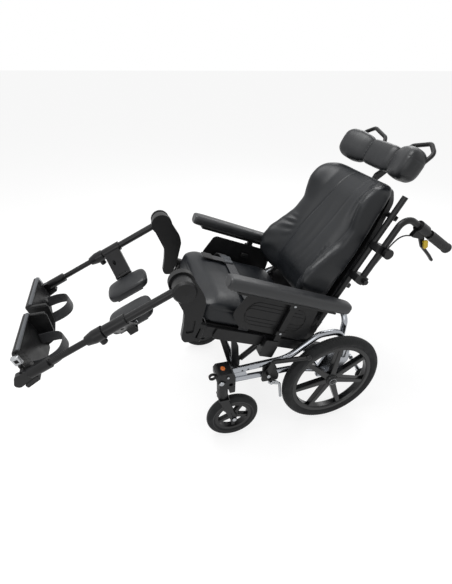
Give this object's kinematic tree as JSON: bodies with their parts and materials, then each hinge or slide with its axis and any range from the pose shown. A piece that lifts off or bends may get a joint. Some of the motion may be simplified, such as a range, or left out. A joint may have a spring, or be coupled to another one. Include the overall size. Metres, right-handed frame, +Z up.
{
  "type": "tilt in space wheelchair",
  "caption": "Tilt in space wheelchair, tilted back with raised legrests, black upholstery, silver tube base, spoked rear wheels and castors",
  "frame": {"origin": "middle of the bounding box on the floor", "axes": "+X to the occupant's left, +Y to the rear, +Z up"},
  "size_m": [0.634, 1.4552, 1.0238],
  "materials": {
    "silver_tube": "bright silver lacquer over tube",
    "black_casting": "black powder coat, satin",
    "bright_steel": "zinc plated steel",
    "moulded_black": "black moulded nylon",
    "gloss_black": "glossy black moulding",
    "tyre": "solid rubber tyre, fine ribbed tread",
    "coated_fabric": "stretch coated black upholstery fabric",
    "pad_foam": "moulded self-skinned foam, satin",
    "webbing": "woven black webbing",
    "grip_rubber": "ribbed rubber grip",
    "yellow_catch": "yellow moulded catch",
    "cable": "black cable casing"
  },
  "bodies": {
    "base": {"side_frame_left": "silver_tube", "side_frame_right": "silver_tube", "cross_members": "silver_tube", "castor_housings": "black_casting", "tilt_struts": "black_casting", "brake_clamps": "bright_steel"},
    "seat": {"seat_frame": "black_casting", "seat_board": "moulded_black", "seat_cushion": "coated_fabric", "seat_side_covers": "moulded_black", "lap_belt": "webbing"},
    "tilt_spring_barrels": {"tilt_spring_barrels": "black_casting"},
    "tilt_spring_rods": {"tilt_spring_rods": "bright_steel"},
    "back": {"back_frame": "black_casting", "back_shell": "moulded_black", "back_cushion": "coated_fabric", "brake_cables": "cable"},
    "recline_spring_barrel": {"recline_spring_barrel": "black_casting"},
    "recline_spring_rod": {"recline_spring_rod": "bright_steel"},
    "headrest_post": {"headrest_post": "black_casting"},
    "headrest": {"headrest_bracket": "black_casting", "headrest_cushion": "pad_foam"},
    "rear_wheel_left": {"rear_wheel_left": "gloss_black", "rear_tyre_left": "tyre"},
    "castor_fork_left": {"castor_fork_left": "black_casting"},
    "castor_wheel_left": {"castor_wheel_left": "gloss_black"},
    "brake_lever_left": {"brake_lever_left": "black_casting"},
    "brake_shoe_left": {"brake_shoe_left": "bright_steel"},
    "anti_tip_arm_left": {"anti_tip_arm_left": "bright_steel"},
    "anti_tip_wheel_left": {"anti_tip_wheel_left": "tyre"},
    "push_handle_left": {"push_handle_left": "black_casting"},
    "hand_lever_left": {"hand_lever_left": "black_casting"},
    "lever_catch_left": {"lever_catch_left": "yellow_catch"},
    "armrest_left": {"armrest_left": "moulded_black", "arm_pad_left": "pad_foam"},
    "hanger_left": {"hanger_left": "moulded_black"},
    "leg_tube_left": {"leg_tube_left": "black_casting"},
    "foot_tube_left": {"foot_tube_left": "black_casting"},
    "calf_pad_left": {"calf_pad_left": "pad_foam"},
    "footplate_left": {"footplate_left": "moulded_black", "heel_strap_left": "webbing"},
    "rear_wheel_right": {"rear_wheel_right": "gloss_black", "rear_tyre_right": "tyre"},
    "castor_fork_right": {"castor_fork_right": "black_casting"},
    "castor_wheel_right": {"castor_wheel_right": "gloss_black"},
    "brake_lever_right": {"brake_lever_right": "black_casting"},
    "brake_shoe_right": {"brake_shoe_right": "bright_steel"},
    "anti_tip_arm_right": {"anti_tip_arm_right": "bright_steel"},
    "anti_tip_wheel_right": {"anti_tip_wheel_right": "tyre"},
    "push_handle_right": {"push_handle_right": "black_casting"},
    "hand_lever_right": {"hand_lever_right": "black_casting"},
    "lever_catch_right": {"lever_catch_right": "yellow_catch"},
    "armrest_right": {"armrest_right": "moulded_black", "arm_pad_right": "pad_foam"},
    "hanger_right": {"hanger_right": "moulded_black"},
    "leg_tube_right": {"leg_tube_right": "black_casting"},
    "foot_tube_right": {"foot_tube_right": "black_casting"},
    "calf_pad_right": {"calf_pad_right": "pad_foam"},
    "footplate_right": {"footplate_right": "moulded_black", "heel_strap_right": "webbing"}
  },
  "joints": [
    {"name": "seat_tilt", "type": "hinge", "parent": "base", "child": "seat", "pos_m": [0, -0.06646, 0.43808], "axis": [1, 0, 0], "range_deg": [0, 22]},
    {"name": "tilt_spring_swing", "type": "hinge", "parent": "base", "child": "tilt_spring_barrels", "pos_m": [0, -0.0118, 0.255], "axis": [1, 0, 0], "range_deg": [0, 11.47]},
    {"name": "tilt_spring_stroke", "type": "slide", "parent": "tilt_spring_barrels", "child": "tilt_spring_rods", "axis": [0, 0.7783, 0.6279], "range_m": [0, 0.06525]},
    {"name": "back_recline", "type": "hinge", "parent": "seat", "child": "back", "pos_m": [0, 0.2532, 0.4], "axis": [1, 0, 0], "range_deg": [-19, 4]},
    {"name": "recline_spring_swing", "type": "hinge", "parent": "seat", "child": "recline_spring_barrel", "pos_m": [0, 0.00319, 0.38621], "axis": [1, 0, 0], "range_deg": [-0.6, 3.2]},
    {"name": "recline_spring_stroke", "type": "slide", "parent": "recline_spring_barrel", "child": "recline_spring_rod", "axis": [0, 0.9416, -0.3369], "range_m": [-0.036, 0.0066]},
    {"name": "headrest_height", "type": "slide", "parent": "back", "child": "headrest_post", "axis": [0, 0.454, 0.891], "range_m": [-0.02, 0.08]},
    {"name": "headrest_tilt", "type": "hinge", "parent": "headrest_post", "child": "headrest", "pos_m": [0, 0.599, 0.9421], "axis": [1, 0, 0], "range_deg": [-20, 4]},
    {"name": "rear_wheel_spin_left", "type": "hinge", "parent": "base", "child": "rear_wheel_left", "pos_m": [0.277, 0.3282, 0.2], "axis": [1, 0, 0], "continuous": true},
    {"name": "castor_swivel_left", "type": "hinge", "parent": "base", "child": "castor_fork_left", "pos_m": [0.266, -0.1008, 0.25], "axis": [0, 0, 1], "continuous": true},
    {"name": "castor_spin_left", "type": "hinge", "parent": "castor_fork_left", "child": "castor_wheel_left", "pos_m": [0.266, -0.0608, 0.1], "axis": [1, 0, 0], "continuous": true},
    {"name": "brake_lever_left", "type": "hinge", "parent": "base", "child": "brake_lever_left", "pos_m": [0.262, 0.0662, 0.28], "axis": [1, 0, 0], "range_deg": [0, 50]},
    {"name": "brake_shoe_left", "type": "hinge", "parent": "base", "child": "brake_shoe_left", "pos_m": [0.262, 0.0802, 0.243], "axis": [1, 0, 0], "range_deg": [-12.5, 0]},
    {"name": "anti_tip_swing_left", "type": "hinge", "parent": "base", "child": "anti_tip_arm_left", "pos_m": [0.202, 0.4002, 0.25], "axis": [1, 0, 0], "range_deg": [0, 90]},
    {"name": "anti_tip_spin_left", "type": "hinge", "parent": "anti_tip_arm_left", "child": "anti_tip_wheel_left", "pos_m": [0.222, 0.5202, 0.118], "axis": [1, 0, 0], "continuous": true},
    {"name": "push_handle_height_left", "type": "slide", "parent": "back", "child": "push_handle_left", "axis": [0, 0.454, 0.891], "range_m": [-0.04, 0.05], "deforming": ["brake_cables"]},
    {"name": "hand_lever_left", "type": "hinge", "parent": "push_handle_left", "child": "hand_lever_left", "pos_m": [0.232, 0.58768, 0.74809], "axis": [1, 0, 0], "range_deg": [0, 12], "stiffness_Nm_per_rad": 1.5, "springref_deg": -8.59},
    {"name": "lever_catch_left", "type": "hinge", "parent": "hand_lever_left", "child": "lever_catch_left", "pos_m": [0.24, 0.60093, 0.72562], "axis": [1, 0, 0], "range_deg": [0, 20]},
    {"name": "armrest_height_left", "type": "slide", "parent": "seat", "child": "armrest_left", "axis": [0, 0.3746, 0.9272], "range_m": [0, 0.05]},
    {"name": "hanger_swing_left", "type": "hinge", "parent": "seat", "child": "hanger_left", "pos_m": [0.225, -0.1647, 0.48855], "axis": [0, 0.3746, 0.9272], "range_deg": [0, 80]},
    {"name": "legrest_angle_left", "type": "hinge", "parent": "hanger_left", "child": "leg_tube_left", "pos_m": [0.25, -0.2168, 0.685], "axis": [1, 0, 0], "range_deg": [-20, 34]},
    {"name": "leg_length_left", "type": "slide", "parent": "leg_tube_left", "child": "foot_tube_left", "axis": [0, -0.8988, -0.4384], "range_m": [-0.05, 0.06]},
    {"name": "calf_pad_left", "type": "hinge", "parent": "leg_tube_left", "child": "calf_pad_left", "pos_m": [0.168, -0.38666, 0.51315], "axis": [0, -0.8988, -0.4384], "range_deg": [0, 60]},
    {"name": "footplate_flip_left", "type": "hinge", "parent": "foot_tube_left", "child": "footplate_left", "pos_m": [0.227, -0.69746, 0.45135], "axis": [0, -0.2924, 0.9563], "range_deg": [-65, 0], "deforming": ["heel_strap_left"]},
    {"name": "rear_wheel_spin_right", "type": "hinge", "parent": "base", "child": "rear_wheel_right", "pos_m": [-0.277, 0.3282, 0.2], "axis": [1, 0, 0], "continuous": true},
    {"name": "castor_swivel_right", "type": "hinge", "parent": "base", "child": "castor_fork_right", "pos_m": [-0.266, -0.1008, 0.25], "axis": [0, 0, 1], "continuous": true},
    {"name": "castor_spin_right", "type": "hinge", "parent": "castor_fork_right", "child": "castor_wheel_right", "pos_m": [-0.266, -0.0608, 0.1], "axis": [1, 0, 0], "continuous": true},
    {"name": "brake_lever_right", "type": "hinge", "parent": "base", "child": "brake_lever_right", "pos_m": [-0.262, 0.0662, 0.28], "axis": [1, 0, 0], "range_deg": [0, 50]},
    {"name": "brake_shoe_right", "type": "hinge", "parent": "base", "child": "brake_shoe_right", "pos_m": [-0.262, 0.0802, 0.243], "axis": [1, 0, 0], "range_deg": [-12.5, 0]},
    {"name": "anti_tip_swing_right", "type": "hinge", "parent": "base", "child": "anti_tip_arm_right", "pos_m": [-0.202, 0.4002, 0.25], "axis": [1, 0, 0], "range_deg": [0, 90]},
    {"name": "anti_tip_spin_right", "type": "hinge", "parent": "anti_tip_arm_right", "child": "anti_tip_wheel_right", "pos_m": [-0.222, 0.5202, 0.118], "axis": [1, 0, 0], "continuous": true},
    {"name": "push_handle_height_right", "type": "slide", "parent": "back", "child": "push_handle_right", "axis": [0, 0.454, 0.891], "range_m": [-0.04, 0.05]},
    {"name": "hand_lever_right", "type": "hinge", "parent": "push_handle_right", "child": "hand_lever_right", "pos_m": [-0.232, 0.58768, 0.74809], "axis": [1, 0, 0], "range_deg": [0, 12], "stiffness_Nm_per_rad": 1.5, "springref_deg": -8.59},
    {"name": "lever_catch_right", "type": "hinge", "parent": "hand_lever_right", "child": "lever_catch_right", "pos_m": [-0.24, 0.60093, 0.72562], "axis": [1, 0, 0], "range_deg": [0, 20]},
    {"name": "armrest_height_right", "type": "slide", "parent": "seat", "child": "armrest_right", "axis": [0, 0.3746, 0.9272], "range_m": [0, 0.05]},
    {"name": "hanger_swing_right", "type": "hinge", "parent": "seat", "child": "hanger_right", "pos_m": [-0.225, -0.1647, 0.48855], "axis": [0, 0.3746, 0.9272], "range_deg": [-80, 0]},
    {"name": "legrest_angle_right", "type": "hinge", "parent": "hanger_right", "child": "leg_tube_right", "pos_m": [-0.25, -0.2168, 0.685], "axis": [1, 0, 0], "range_deg": [-20, 34]},
    {"name": "leg_length_right", "type": "slide", "parent": "leg_tube_right", "child": "foot_tube_right", "axis": [0, -0.8988, -0.4384], "range_m": [-0.05, 0.06]},
    {"name": "calf_pad_right", "type": "hinge", "parent": "leg_tube_right", "child": "calf_pad_right", "pos_m": [-0.168, -0.38666, 0.51315], "axis": [0, -0.8988, -0.4384], "range_deg": [-60, 0]},
    {"name": "footplate_flip_right", "type": "hinge", "parent": "foot_tube_right", "child": "footplate_right", "pos_m": [-0.227, -0.69746, 0.45135], "axis": [0, -0.2924, 0.9563], "range_deg": [0, 65], "deforming": ["heel_strap_right"]}
  ],
  "couplings": [
    {"joint": "tilt_spring_swing", "follows": "seat_tilt", "ratio": 0.521},
    {"joint": "tilt_spring_stroke", "follows": "seat_tilt", "m_per_rad": 0.1699},
    {"joint": "recline_spring_swing", "follows": "back_recline", "ratio": -0.1439},
    {"joint": "recline_spring_stroke", "follows": "back_recline", "m_per_rad": 0.09228},
    {"joint": "brake_shoe_left", "follows": "brake_lever_left", "ratio": -0.25},
    {"joint": "brake_shoe_right", "follows": "brake_lever_right", "ratio": -0.25}
  ]
}
